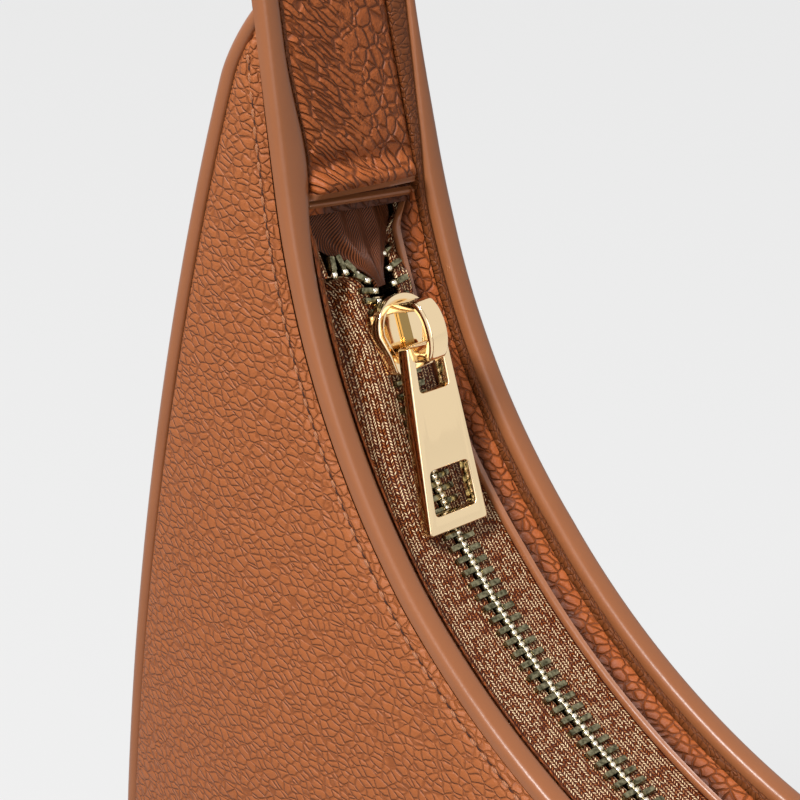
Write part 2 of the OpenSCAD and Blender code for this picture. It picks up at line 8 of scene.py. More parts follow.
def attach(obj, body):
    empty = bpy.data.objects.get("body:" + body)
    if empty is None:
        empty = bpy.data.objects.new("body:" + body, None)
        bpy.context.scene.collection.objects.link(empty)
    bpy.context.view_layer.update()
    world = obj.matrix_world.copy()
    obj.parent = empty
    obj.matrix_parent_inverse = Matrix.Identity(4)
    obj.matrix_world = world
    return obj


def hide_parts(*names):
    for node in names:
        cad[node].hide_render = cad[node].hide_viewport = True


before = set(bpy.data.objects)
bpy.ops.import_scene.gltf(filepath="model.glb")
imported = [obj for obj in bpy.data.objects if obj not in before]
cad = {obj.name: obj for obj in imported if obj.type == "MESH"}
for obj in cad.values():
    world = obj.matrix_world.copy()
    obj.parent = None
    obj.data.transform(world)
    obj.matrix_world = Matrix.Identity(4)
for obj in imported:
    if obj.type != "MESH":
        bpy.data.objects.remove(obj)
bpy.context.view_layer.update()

# Front and back panel: crescents of drum-milled cow leather, 1.5 mm thick, that run up to a point beside the
# strap's foot. Their edges are skived and rolled in, and a lockstitch along the mouth draws a small furrow.
# The lines below are the CAD's, in mm and seen from the front: the mouth's arc, the horns beside the strap,
# the round corners over the base and the flanks between them. Angles count from the mouth's lowest point.
mm = 0.001
sides = ((-1, "front"), (1, "back"))
leather_t = 1.5
mouth_r, mouth_z = 117.0, 252.0
mouth_half, horn_half, crown_half = 20.5, 17.3, 15.0
even_deg, horn_deg = 45, 94
foot, horn = math.radians(80), math.radians(horn_deg)
horn_q = 7.1
horn_r = (mouth_r + horn_q) / math.cos(horn - foot)
horn_x, horn_z = horn_r * math.sin(horn), mouth_z - horn_r * math.cos(horn)
wide, corner_r, base_y = horn_x + 24.2, 82.0, 34.0
base_half = wide - corner_r
flank_r = ((wide - horn_x) ** 2 + (horn_z - corner_r) ** 2) / (2 * (wide - horn_x))
base_t = math.atan(base_half / mouth_z)
flank_t = math.atan(wide / (mouth_z - corner_r))
belly_h, belly_span = 7, 135


def mix(a, b, f):
    return a + (b - a) * f


def ease(f):
    c = min(1, max(0, f))
    return c * c * (3 - 2 * c)


def half_width(t, side=0):
    """Half the mouth's and strap's width; up at the horns the strap stands a little further to the front."""
    a = abs(math.degrees(t))
    lean = {0: 0, 1: 1.7, -1: -0.4}[side] * ease((a - 72) / 22)
    if a <= even_deg:
        return mouth_half
    if a <= horn_deg:
        return mix(mouth_half, horn_half, (a - even_deg) / (horn_deg - even_deg)) - lean
    return mix(horn_half, crown_half, (a - horn_deg) / (180 - horn_deg)) - lean


def seam_r(t):
    """Distance of the outer seam from the middle of the mouth's arc; at the horns it tucks in to the rim."""
    a = abs(t)
    if a <= base_t:
        return mouth_z / math.cos(a)
    cx, r = (base_half, corner_r) if a <= flank_t else (wide - flank_r, flank_r)
    cz = corner_r - mouth_z
    b = cx * math.sin(a) - cz * math.cos(a)
    tuck = 3.5 * max(0, (math.degrees(a) - 88.5) / 5.5) ** 1.6
    return b + math.sqrt(b * b - cx * cx - cz * cz + r * r) - tuck


def seam_normal(t):
    a, r = abs(t), seam_r(t)
    if a <= base_t:
        return 0.0, -1.0
    cx = base_half if a <= flank_t else wide - flank_r
    n = Vector((r * math.sin(a) - cx, mouth_z - corner_r - r * math.cos(a)))
    n.normalize()
    return math.copysign(n.x, t), n.y


def seam_half(t):
    """Half the bag's depth at the outer seam: it narrows from the base's corners up to the horns."""
    z = mouth_z - seam_r(t) * math.cos(t)
    return mix(horn_half, base_y, min(1, max(0, (horn_z - z) / (horn_z - corner_r))) ** 0.8)


def mouth_edge_r(t, q):
    return (mouth_r + q) / math.cos(max(0, abs(t) - foot))


def on_wall(t, side, r, depth):
    """Point of the front or back at angle t and distance r, moved in by depth."""
    r0, r1 = mouth_edge_r(t, 0), seam_r(t)
    u = (r - r0) / (r1 - r0)
    belly = min(belly_h, (r1 - r0) * belly_h / belly_span) * 4 * u * (1 - u)
    y = mix(half_width(t, side), seam_half(t), u) + belly - depth
    return r * math.sin(t), side * y, mouth_z - r * math.cos(t)


def laid(n, m, place, length=1.0, width=1.0, measured=False):
    """Sheet of n by m faces with each corner at place(u, v) in mm. Its map is in mm too: length along, and
    width across or, if asked, the way measured along each row of corners."""
    rows = [[Vector(place(i / n, j / m)) for j in range(m + 1)] for i in range(n + 1)]
    ways = []
    for row in rows:
        ways.append([0.0])
        for here, there in zip(row, row[1:]):
            ways[-1].append(ways[-1][-1] + (there - here).length)
    bm = bmesh.new()
    uv = bm.loops.layers.uv.new("uv")
    bmesh.ops.create_grid(bm, x_segments=n, y_segments=m, size=0.5)
    for face in bm.faces:
        for corner in face.loops:
            u, v = corner.vert.co.x + 0.5, corner.vert.co.y + 0.5
            corner[uv].uv = (u * length, ways[round(u * n)][round(v * m)] if measured else v * width)
    for vert in bm.verts:
        vert.co = rows[round((vert.co.x + 0.5) * n)][round((vert.co.y + 0.5) * m)] * mm
    return bm


def thickened(bm, outward):
    """Turns a sheet's faces to the side that outward scores above 0, and backs them with leather."""
    bmesh.ops.recalc_face_normals(bm, faces=bm.faces)
    if sum(outward(f) * f.calc_area() for f in bm.faces) < 0:
        bmesh.ops.reverse_faces(bm, faces=bm.faces)
    bmesh.ops.solidify(bm, geom=bm.faces[:], thickness=leather_t * mm)
    return bm


def made(bm, name, *materials, sharp=40):
    mesh = bpy.data.meshes.new(name)
    bm.to_mesh(mesh)
    bm.free()
    for m in materials:
        mesh.materials.append(m)
    mesh.shade_smooth()
    mesh.set_sharp_from_angle(angle=math.radians(sharp))
    piece = bpy.data.objects.new(name, mesh)
    bpy.context.collection.objects.link(piece)
    return piece


def linear(hexa):
    """sRGB hex to the linear colour that a socket takes."""
    parts = [int(hexa[i:i + 2], 16) / 255 for i in (1, 3, 5)]
    return (*[c / 12.92 if c <= 0.04045 else ((c + 0.055) / 1.055) ** 2.4 for c in parts], 1.0)


def add(nodes, kind, inputs=(), **settings):
    """Adds a node with its settings; each input is given a value or the output that feeds it."""
    new = nodes.new("ShaderNode" + kind)
    for key, value in settings.items():
        setattr(new, key, value)
    for key, value in dict(inputs).items():
        if isinstance(value, bpy.types.NodeSocket):
            new.id_data.links.new(value, new.inputs[key])
        else:
            new.inputs[key].default_value = value
    return new


def fresh(name):
    material = bpy.data.materials.new(name)
    material.use_nodes = True
    material.node_tree.nodes.clear()
    return material, material.node_tree.nodes


def blend(nodes, share, first, second):
    """Mix of two colours, each an sRGB hex or an output."""
    pair = [linear(c) if isinstance(c, str) else c for c in (first, second)]
    return add(nodes, "Mix", {0: share, 6: pair[0], 7: pair[1]}, data_type="RGBA").outputs[2]


def covered(nodes, height, deep, inputs, strength=1.0):
    """Ends a material: a surface with these inputs, and a relief that is deep mm high."""
    bump = add(nodes, "Bump", {"Height": height, "Distance": deep * mm, "Strength": strength})
    body = add(nodes, "BsdfPrincipled", {**inputs, "Normal": bump.outputs[0]})
    add(nodes, "OutputMaterial", {"Surface": body.outputs[0]})


def grained_leather(name, light, dark, crease, cell, stretch, lean, deep, shade=0.55, folds=None,
                    painted_shade_band=None):
    """Milled leather: flat cells about cell mm wide with thin creases between them, in a soft satin finish.
    Lean turns the cells, by three angles in space or by one on the piece's map. Shade is how much of its own
    tone the leather keeps in a crease; folds gives the band of the map, in mm across it, over which bending
    creases take the cells' place. The last argument gives the band of the map, in mm across it, over which
    the colour is darkened towards the crease colour as painted shade."""
    material, nodes = fresh(name)
    in_space = len(lean) == 3
    place = add(nodes, "TexCoord").outputs["Object" if in_space else "UV"]
    unit = mm if in_space else 1.0
    drift = add(nodes, "TexNoise", {"Vector": place, "Scale": 0.28 / unit, "Detail": 2.0})
    bent = add(nodes, "VectorMath", {0: drift.outputs["Color"], 1: (1.3 * unit,) * 3, 2: place},
               operation="MULTIPLY_ADD")
    grid = add(nodes, "Mapping", {"Vector": bent.outputs[0], "Rotation": lean if in_space else (0, 0, *lean),
                                  "Scale": (cell * stretch * unit, cell * unit, cell * unit)},
               vector_type="TEXTURE")
    cells = add(nodes, "TexVoronoi", {"Vector": grid.outputs[0], "Scale": 1.0}, feature="DISTANCE_TO_EDGE")
    edge = cells.outputs["Distance"]
    if folds:
        turned = add(nodes, "Mapping", {"Vector": bent.outputs[0], "Rotation": (0, 0, math.radians(50)),
                                        "Scale": (cell * 2.3, cell * 0.5, cell)}, vector_type="TEXTURE")
        wrinkles = add(nodes, "TexVoronoi", {"Vector": turned.outputs[0], "Scale": 1.0},
                       feature="DISTANCE_TO_EDGE")
        flat = add(nodes, "SeparateXYZ", {0: bent.outputs[0]})
        share = add(nodes, "MapRange", {"Value": flat.outputs["Y"], "From Min": folds[0],
                                        "From Max": folds[1]})
        edge = add(nodes, "Mix", {0: share.outputs[0], 2: wrinkles.outputs["Distance"], 3: edge}).outputs[0]
    lip = add(nodes, "MapRange", {"Value": edge, "From Max": 0.16}, interpolation_type="SMOOTHSTEP")
    dome = add(nodes, "MapRange", {"Value": edge, "From Max": 0.5, "To Max": 0.5})
    swell = add(nodes, "Math", {0: lip.outputs[0], 1: dome.outputs[0]}, operation="ADD")
    pores = add(nodes, "TexNoise", {"Vector": grid.outputs[0], "Scale": 5.0, "Detail": 4.0})
    height = add(nodes, "Math", {0: pores.outputs["Fac"], 1: 0.45, 2: swell.outputs[0]},
                 operation="MULTIPLY_ADD")
    slow = add(nodes, "TexNoise", {"Vector": grid.outputs[0], "Scale": 0.4, "Detail": 4.0})
    kept = add(nodes, "MapRange", {"Value": edge, "From Max": 0.09, "To Min": shade},
               interpolation_type="SMOOTHSTEP")
    colour = blend(nodes, kept.outputs[0], crease, blend(nodes, slow.outputs["Fac"], dark, light))
    # Painted shade: over the given band of the map the colour is darkened towards the crease colour
    if painted_shade_band:
        flat = add(nodes, "SeparateXYZ", {0: place})
        shade_share = add(nodes, "MapRange", {"Value": flat.outputs["Y"], "From Min": painted_shade_band[0],
                                      "From Max": painted_shade_band[1], "To Max": 0.85},
                  interpolation_type="SMOOTHSTEP")
        colour = blend(nodes, shade_share.outputs[0], colour, crease)
    rough = add(nodes, "MapRange", {"Value": pores.outputs["Fac"], "To Min": 0.42, "To Max": 0.62})
    covered(nodes, height.outputs[0], deep, {"Base Color": colour, "Roughness": rough.outputs[0], "IOR": 1.48,
                                             "Specular IOR Level": 0.3})
    return material


# Cow leather, drum milled and pigmented: satin, with flat oblong cells 2 to 3 mm long that lie along the bag
panel_leather = grained_leather("milled_cow_leather", "#A55E31", "#98552C", "#673110", 1.35, 1.55,
                                (0, math.radians(12), 0), 0.2)

# Rows of corners, in mm from the mouth's side and from the outer seam, and how many lie evenly between
near_rows = [0, 0.3, 0.6, 0.9, 1.15, 1.4, 1.6, 1.75, 1.9, 2.1, 2.4, 2.8, 3.4, 4.4, 7.0]
far_rows = [7.0, 4.5, 3.0, 2.0, 1.2, 0.6, 0.2, 0]
mid_n = 15
panel_rows = len(near_rows) + len(far_rows) + mid_n
panel_q, stitch_q, stitch_l = 2.7, 4.6, 2.9
seam_in = 3.2


def panel_corner(u, v, side):
    """The rows of corners lie close by the mouth, where the stitches draw the leather in, and by the seam."""
    t = mix(-horn, horn, u)
    nx, nz = seam_normal(t)
    r0 = mouth_edge_r(t, panel_q)
    r1 = max(r0 + 0.3, seam_r(t) - seam_in / (nx * math.sin(t) - nz * math.cos(t)))
    shrink = min(1, (r1 - r0) / 20)
    k = round(v * panel_rows)
    if k < len(near_rows):
        r = r0 + near_rows[k] * shrink
    elif k > len(near_rows) + mid_n:
        r = r1 - far_rows[k - len(near_rows) - mid_n - 1] * shrink
    else:
        r = mix(r0 + 7 * shrink, r1 - 7 * shrink, (k - len(near_rows) + 1) / (mid_n + 2))
    near, far = r - r0, r1 - r
    draw = 0.5 + 0.5 * math.cos(2 * math.pi * t * (mouth_r + stitch_q) / stitch_l)
    depth = 0.8 * math.exp(-(near / 0.6) ** 2) + 1.2 * math.exp(-(far / 1.1) ** 2)
    depth += (0.35 + 0.45 * draw) * math.exp(-((near - stitch_q + panel_q) / 0.55) ** 2)
    return on_wall(t, side, r, depth)


for side, word in sides:
    bm = thickened(laid(700, panel_rows, lambda u, v: panel_corner(u, v, side)), lambda f: side * f.normal.y)
    panel = made(bm, f"{word}_panel_skin", panel_leather, sharp=60)
    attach(panel, "bag")
    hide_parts(f"{word}_panel")

# Gusset: one strip of the same leather round both ends and under the base, let in between the two outer
# seams. It bows out a little between them, as a filled side does.
def by_seam(t, y, depth):
    r, (nx, nz) = seam_r(t), seam_normal(t)
    return r * math.sin(t) - nx * depth, y, mouth_z - r * math.cos(t) - nz * depth


def gusset_corner(u, v):
    t = mix(-horn, horn, u)
    a, y = abs(math.degrees(t)), seam_half(t) - seam_in
    bow = 0.9 * (1 - (2 * v - 1) ** 2) * min(1, a / 40) * min(1, (92.5 - a) / 10)
    return by_seam(t, mix(-y, y, v), 0.1 - bow)


bm = thickened(laid(360, 20, gusset_corner), lambda f: -f.normal.z * (f.calc_center_median().z < 10 * mm))
gusset = made(bm, "gusset_skin", panel_leather, sharp=60)
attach(gusset, "bag")
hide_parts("gusset")

# Outer seams: where panel and gusset meet, their edges stand out together as one rounded bead, sanded and
# sealed with several coats of acrylic edge paint.
def edge_paint(name, light, dark):
    material, nodes = fresh(name)
    place = add(nodes, "TexCoord").outputs["Object"]
    cloud = add(nodes, "TexNoise", {"Vector": place, "Scale": 60.0, "Detail": 3.0}).outputs["Fac"]
    brush = add(nodes, "TexNoise", {"Vector": place, "Scale": 900.0, "Detail": 2.0}).outputs["Fac"]
    wave = add(nodes, "Math", {0: cloud, 1: 3.0, 2: brush}, operation="MULTIPLY_ADD")
    rough = add(nodes, "MapRange", {"Value": brush, "To Min": 0.28, "To Max": 0.40})
    covered(nodes, wave.outputs[0], 0.03, {"Base Color": blend(nodes, cloud, dark, light), "IOR": 1.47,
                                           "Roughness": rough.outputs[0], "Specular IOR Level": 0.5})
    return material


def closed_up(bm):
    """Welds a sheet that comes round on itself, fills its ends and turns its faces outward."""
    bmesh.ops.remove_doubles(bm, verts=bm.verts, dist=0.001 * mm)
    bmesh.ops.holes_fill(bm, edges=bm.edges[:], sides=0)
    bmesh.ops.recalc_face_normals(bm, faces=bm.faces)
    return bm


# Acrylic edge paint, brushed on and rubbed: smooth, a little greyer than the leather, with a soft sheen
painted = edge_paint("acrylic_edge_paint", "#995E39", "#8C5431")
bead_r = 1.5


def bead_corner(u, v, side):
    t, a = mix(-horn, horn, u), 2 * math.pi * v
    return by_seam(t, side * (seam_half(t) - bead_r + bead_r * math.cos(a)), bead_r - bead_r * math.sin(a))


for side, word in sides:
    bm = closed_up(laid(360, 16, lambda u, v: bead_corner(u, v, side)))
    bead = made(bm, f"{word}_seam_bead_paint", painted)
    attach(bead, "bag")
    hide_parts(f"{word}_seam_bead")

# Rims: the layers of wall and facing are glued, stitched and trimmed together, and their cut edge is rounded
# and painted in one line round the mouth and up along both sides of the strap.
leg_l = 45.0
crown_r = mouth_r + leg_l / math.tan(foot)
crown_z = leg_l * math.sin(foot) + (crown_r - mouth_r) * math.cos(foot)
mouth_l = mouth_r * foot
half_loop = mouth_l + leg_l + crown_r * math.radians(100)


def edge_line(s):
    """Place on the line of mouth and strap, s mm from its lowest point: x, z, outward normal, angle."""
    a = abs(s)
    if a <= mouth_l:
        t = a / mouth_r
        x, z, nx, nz = mouth_r * math.sin(t), -mouth_r * math.cos(t), math.sin(t), -math.cos(t)
    elif a <= mouth_l + leg_l:
        b = a - mouth_l
        nx, nz = math.sin(foot), -math.cos(foot)
        x, z = mouth_r * nx - b * nz, b * nx + mouth_r * nz
    else:
        c = (a - mouth_l - leg_l) / crown_r - math.radians(10)
        nx, nz = math.cos(c), math.sin(c)
        x, z = crown_r * nx, crown_z + crown_r * nz
    if s < 0:
        x, nx = -x, -nx
    return x, z, nx, nz, math.atan2(x, -z)


def by_line(s, y, q):
    """Point y mm across from the bag's middle and q mm out from the edge line."""
    x, z, nx, nz, t = edge_line(s)
    return x + nx * q, y, mouth_z + z + nz * q


def by_edge(s, side, d, q):
    """Point d mm in from the side face and q mm out from the edge line."""
    return by_line(s, side * (half_width(edge_line(s)[4], side) - d), q)


def girth(section):
    return sum(math.dist(section[i], section[i - 1]) for i in range(len(section)))


def band(s0, s1, n, side, section_at):
    """Solid band from s0 to s1 along the edge line; section_at gives its [d, q] points for an angle."""
    m = len(section_at(0))

    def corner(u, v):
        s = mix(s0, s1, u)
        d, q = section_at(math.degrees(abs(edge_line(s)[4])))[round(v * m) % m]
        return by_edge(s, side, d, q)

    return closed_up(laid(n, m, corner, s1 - s0, girth(section_at(0))))


def changed(here, there, f):
    return [(mix(a[0], b[0], f), mix(a[1], b[1], f)) for a, b in zip(here, there)]


def rim_width(t, side):
    """The front rim is fullest where the strap's lining begins; the back one narrows up along the strap."""
    if side < 0:
        return mix(4.6, 4.3, ease((t - 80) / 12)) + 1.8 * math.exp(-((t - 82) / 5.5) ** 2)
    return mix(4.6, 2.0, ease((t - 76) / 20))


def rim_section(w, reach):
    """The rim's rounded top, w mm wide, and the tongue under it that reaches in between the layers."""
    top = []
    for i in range(15):
        a = math.pi * i / 14
        over = math.copysign(abs(math.cos(a)) ** 0.62, math.cos(a))
        top.append((w / 2 - w / 2 * over, 2.5 - 2.5 * math.sin(a) ** 0.62))
    return top + [(3.5, 2.7), (3.5, reach), (1.8, reach), (1.8, 2.5)]


for side, word in sides:
    def rim_at(t):
        return rim_section(rim_width(t, side), mix(9, 3.7, ease((t - 80) / 12)))

    rim = made(band(-half_loop, half_loop, 600, side, rim_at), f"{word}_rim_paint", painted)
    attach(rim, "bag")
    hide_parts(f"{word}_rim")

# Edge strips: narrow turned strips of the leather that lie just inside the rims and bind the facings and the
# strap's lining to them.
# The bag's leather skived thin: a finer grain, darker than the panels
strip_leather = grained_leather("skived_strip_leather", "#7A431F", "#683515", "#3A1A08", 1.1, 1.3,
                                (math.radians(70),), 0.12)
low_strip = [(4.95, 1.5), (6.05, 1.5), (6.05, 5.25), (4.95, 5.25)]
tucked_strip = [(4.95, 2.4), (6.2, 2.9), (6.2, 5.25), (4.95, 5.25)]


def strip_at(t, side):
    """Low beside the zip, and up at the strap level with the lining."""
    d = rim_width(t, side) + 0.15
    low, inner, top, under = low_strip, 6.1, 0.35, 2.0
    if side < 0:
        low, inner, top, under = tucked_strip, max(d + 0.4, 6.1), 0.9, 2.5
    return changed(low, [(d, top), (inner, top), (inner, under), (d, under)], ease((t - 74) / 8))


for side, word in sides:
    strip = band(-half_loop, half_loop, 600, side, lambda t: strip_at(t, side))
    bevelled = [e for e in strip.edges if len(e.link_faces) == 2 and e.calc_face_angle(0) > 0.9]
    bmesh.ops.bevel(strip, geom=bevelled, offset=0.3 * mm, segments=2, affect="EDGES", profile=0.5,
                    material=-1)
    strip = made(strip, f"{word}_edge_strip_skin", strip_leather)
    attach(strip, "bag")
    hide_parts(f"{word}_edge_strip")

# Facings: the leather walls inside the mouth, sewn in under the strips and slanting down to the zip tape,
# where their edge is thin and painted.
# The same leather in the shade of the mouth: larger cells, dark creases, and painted shade that darkens it
# above its painted edge
inner_leather = grained_leather("facing_leather", "#AC5C2A", "#98491C", "#2E1104", 1.5, 1.5,
                                (math.radians(-38),), 0.26, 0.4, painted_shade_band=(0.8, 4.2))
facing_l = mouth_r * math.radians(77)
painted_from, painted_to = 4, 8.9
facing_section = [(6.45, 2.5), (7.3, 2.7), (8.2, 3.25), (8.9, 4.1), (9.3, 4.9), (9.9, 4.95), (10.25, 5.4),
                  (10.3, 6.1), (10.05, 6.4), (8.9, 6.4), (7.6, 5.5), (6.5, 4.6)]
steep_section = [(6.3 + (d - 6.3) * 0.55, q + 0.2) for d, q in facing_section]
raised_section = [(5.2 + (d - 6.3) * 0.56, 1.3 + (q - 2.5) * 0.5) for d, q in facing_section]


def facing_at(t, side):
    """The front facing hangs steeply but for its ends, which show beside the rim; both taper to a tip."""
    if side < 0:
        whole = changed(steep_section, raised_section, ease((t - 60) / 9))
        tip = ease((t - 74.8) / 2.2)
        return [(mix(d, min(d, 5.6), tip), q) for d, q in whole]
    tip = ease((t - 73.5) / 3.5)
    return [(mix(d, min(d, 7.4), tip), q - 1.6 * tip * (d > 8)) for d, q in facing_section]


def map_middle(face, uv, axis):
    """Where a face lies on its map, in mm along (0) or across (1) the piece."""
    return sum(c[uv].uv[axis] for c in face.loops) / len(face.loops)


for side, word in sides:
    bm = band(-facing_l, facing_l, 400, side, lambda t: facing_at(t, side))
    uv = bm.loops.layers.uv.active
    point_l = girth(facing_at(0, side)) / len(facing_section)
    for face in bm.faces:
        if painted_from < map_middle(face, uv, 1) / point_l < painted_to:
            face.material_index = 1
    facing = made(bm, f"{word}_facing_skin", inner_leather, painted, sharp=60)
    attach(facing, "bag")
    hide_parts(f"{word}_facing")

# Mouth seams: bonded polyester thread in leather brown, 8 to 9 stitches to 25 mm, on front and back panel.
def sewing_thread(name, light, dark):
    material, nodes = fresh(name)
    place = add(nodes, "TexCoord").outputs["Object"]
    ply = add(nodes, "TexWave", {"Vector": place, "Scale": 1400.0, "Distortion": 0.5},
              bands_direction="DIAGONAL").outputs["Fac"]
    covered(nodes, ply, 0.06, {"Base Color": blend(nodes, ply, dark, light), "Roughness": 0.5, "IOR": 1.5,
                               "Sheen Weight": 0.15}, strength=0.8)
    return material


# Bonded polyester thread, three ply: slight gloss, twist just visible
thread = sewing_thread("bonded_polyester_thread", "#B8794A", "#7E4220")
# Needle holes at the ends of the stitches: dark, dull grains that stand for the holes' shade, painted shade
needle_hole_shade, nodes = fresh("needle_hole_painted_shade")
grit = add(nodes, "TexNoise", {"Vector": add(nodes, "TexCoord").outputs["Object"], "Scale": 4000.0})
hole_shade_colour = blend(nodes, grit.outputs["Fac"], "#1C0B03", "#4A220D")
body = add(nodes, "BsdfPrincipled", {"Base Color": hole_shade_colour, "Roughness": 0.9})
add(nodes, "OutputMaterial", {"Surface": body.outputs[0]})
stitch_size, hole_size, slant = (1.7, 0.6, 0.62), (1.25, 0.6, 0.682), 0.1


def sized(x, y, z, size):
    """Matrix that sets a unit shape at x, y, z with its size, all in mm."""
    return Matrix.Translation((x * mm, y * mm, z * mm)) @ Matrix.Diagonal((*[c * mm for c in size], 1))


def stitch_row(places):
    """A row of stitches: one grain of thread on each place, laid along the row, and by it a dark grain that
    stands for the needle hole's shade (painted shade).
    """
    bm = bmesh.new()
    for here, ahead, up in places:
        x = (Vector(ahead) - Vector(here)).normalized()
        z = (Vector(up) - x * Vector(up).dot(x)).normalized()
        turn = Matrix((x, z.cross(x), z)).transposed().to_4x4()
        spot = Matrix.Translation(Vector(here) * mm) @ turn @ Matrix.Rotation(slant, 4, "Z")
        grains = (sized(0, 0, 0, stitch_size), sized(stitch_l / 2, 0, -0.12, hole_size))
        for index, grain in enumerate(grains):
            start = len(bm.faces)
            bmesh.ops.create_uvsphere(bm, u_segments=6, v_segments=6, radius=0.5,
                                      matrix=spot @ grain @ Matrix.Rotation(math.pi / 2, 4, "Y"))
            bm.faces.ensure_lookup_table()
            for face in bm.faces[start:]:
                face.material_index = index
    return bm


seam_n = int(horn * (mouth_r + stitch_q) / stitch_l) - 2
for side, word in sides:
    places = []
    for k in range(-seam_n, seam_n + 1):
        t = k * stitch_l / (mouth_r + stitch_q)
        spot = [on_wall(a, side, mouth_edge_r(a, stitch_q), 0.42) for a in (t, t + 0.01)]
        places.append((*spot, (0, side, 0)))
    row = made(stitch_row(places), f"{word}_seam_stitches", thread, needle_hole_shade)
    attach(row, "bag")
    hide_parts(f"{word}_thread")

# Strap: an outer band of the panel leather and a lining of softer leather between the two rims, over a filler
# of bonded leather board. The lining's lower end is turned over a roll and its edge painted.
strap_s0 = mouth_l + mouth_r * math.tan(horn - foot) + 0.2
strap_l = 2 * (half_loop - strap_s0)
# The panels' leather, with its cells along the strap
outer_leather = grained_leather("strap_leather", "#9F5C2E", "#915227", "#612E0C", 1.35, 1.5,
                                (math.radians(20),), 0.2)
half = [(0.3, 2.7), (1.6, 2.7), (1.7, 3.6), (4, 3.9), (9, 3.9)]
crown = [(9, 5.6), (5, 5.5), (3.6, 5.25), (2.4, 4.75), (1.3, 4.0), (0.5, 3.2)]
strap_section = [(1, d, q) for d, q in half] + [(-1, d, q) for d, q in reversed(half)]
strap_section += [(-1, d, q) for d, q in reversed(crown)] + [(1, d, q) for d, q in crown]


def past_top(s):
    """Place s on the edge line, counted on over the strap's top and down its other side."""
    return s if s <= half_loop else s - 2 * half_loop


def strap_corner(u, v):
    side, d, q = strap_section[round(v * len(strap_section)) % len(strap_section)]
    return by_edge(past_top(strap_s0 + u * strap_l), side, d, q)


strap = closed_up(laid(330, len(strap_section), strap_corner, strap_l, 60))
strap = made(strap, "strap_outer_skin", outer_leather, sharp=50)
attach(strap, "bag")
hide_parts("strap_outer")

# Softer leather of larger, deeper cells, with slanting wrinkles along its front half
soft_leather = grained_leather("strap_lining_leather", "#AB5D2D", "#944C23", "#401A07", 2.1, 1.3,
                               (math.radians(25),), 0.42, 0.4, (9.0, 17.0))
lining_s = mouth_r * math.radians(78.5)
lining_l = 2 * (half_loop - lining_s)


def around(v, m):
    """At v round a flat piece of m faces above and m below: the share of its width, and if it is below."""
    k = round(v * 2 * m) % (2 * m)
    return (2 * m - k if k > m else k) / m, k > m


def near_ends(u):
    """Share u of the strap's length, moved so that the faces are finest at both its ends."""
    f = 0.5 * max(0, 2 * min(u, 1 - u)) ** 1.3
    return f if u < 0.5 else 1 - f


def lining_corner(u, v):
    w, below = around(v, 40)
    start = lining_s - 1.9 * w
    s = mix(start, 2 * half_loop - start, near_ends(u))
    end = min(s - start, 2 * half_loop - start - s)
    s = past_top(s)
    t = edge_line(s)[4]
    front, back = half_width(t, -1) - rim_width(abs(math.degrees(t)), -1) - 0.3, half_width(t, 1) - 6.3
    flat = 1 - math.exp(-(min(w, 1 - w) * (front + back) / 0.7) ** 2)
    roll = 1.7 * math.exp(-((end - 2.2) / 1.7) ** 2) - 0.9 * math.exp(-((end - 5.6) / 1.5) ** 2)
    belly, tuck = 0.5 * math.sin(math.pi * w), math.exp(-(end / 0.9) ** 2)
    q = 0.5 - (roll * (1.25 - 0.7 * w) + belly) * flat + 0.7 * (1 - flat) + 0.54 * tuck
    return by_line(s, mix(-front, back, w), 2.0 - 0.9 * tuck if below else q)


bm = closed_up(laid(420, 80, lining_corner, lining_l, 46))
uv = bm.loops.layers.uv.active
for face in bm.faces:
    for c in face.loops:
        c[uv].uv.x = lining_l * near_ends(c[uv].uv.x / lining_l)
    if not 1 <= map_middle(face, uv, 0) <= lining_l - 1:
        face.material_index = 1
lining = made(bm, "strap_lining_skin", soft_leather, painted, sharp=60)
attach(lining, "bag")
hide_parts("strap_lining")

# End patches: short pieces of leather with a painted edge that close the mouth's ends below the lining.
ends = ((-1, "left"), (1, "right"))
patch_deg, patch_in, patch_n = (77.2, 82.5), 6.6, 16


def patch_corner(u, v, end):
    w, below = around(v, patch_n)
    s = mouth_r * math.radians(mix(*patch_deg, u) - 1.3 * w)
    front, back = [half_width(s / mouth_r, side) - patch_in for side in (-1, 1)]
    ridge = 0.9 * math.exp(-((u - 0.16) / 0.055) ** 2)
    q = 3.9 if below else 3.0 - ridge - 0.12 * math.sin(math.pi * w)
    return by_line(end * s, mix(-front, back, w), q)


# Painted shade: the facing leather's darkened band reaches across nearly the whole of each patch's map, so the
# patches come out dark
for end, word in ends:
    bm = closed_up(laid(60, 2 * patch_n, lambda u, v: patch_corner(u, v, end),
                        mouth_r * math.radians(5.8), 44))
    uv = bm.loops.layers.uv.active
    for face in bm.faces:
        if 1.1 < map_middle(face, uv, 0) < 2.7:
            face.material_index = 1
    patch = made(bm, f"{word}_end_patch_skin", inner_leather, painted, sharp=60)
    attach(patch, "bag")
    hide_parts(f"{word}_end_patch")

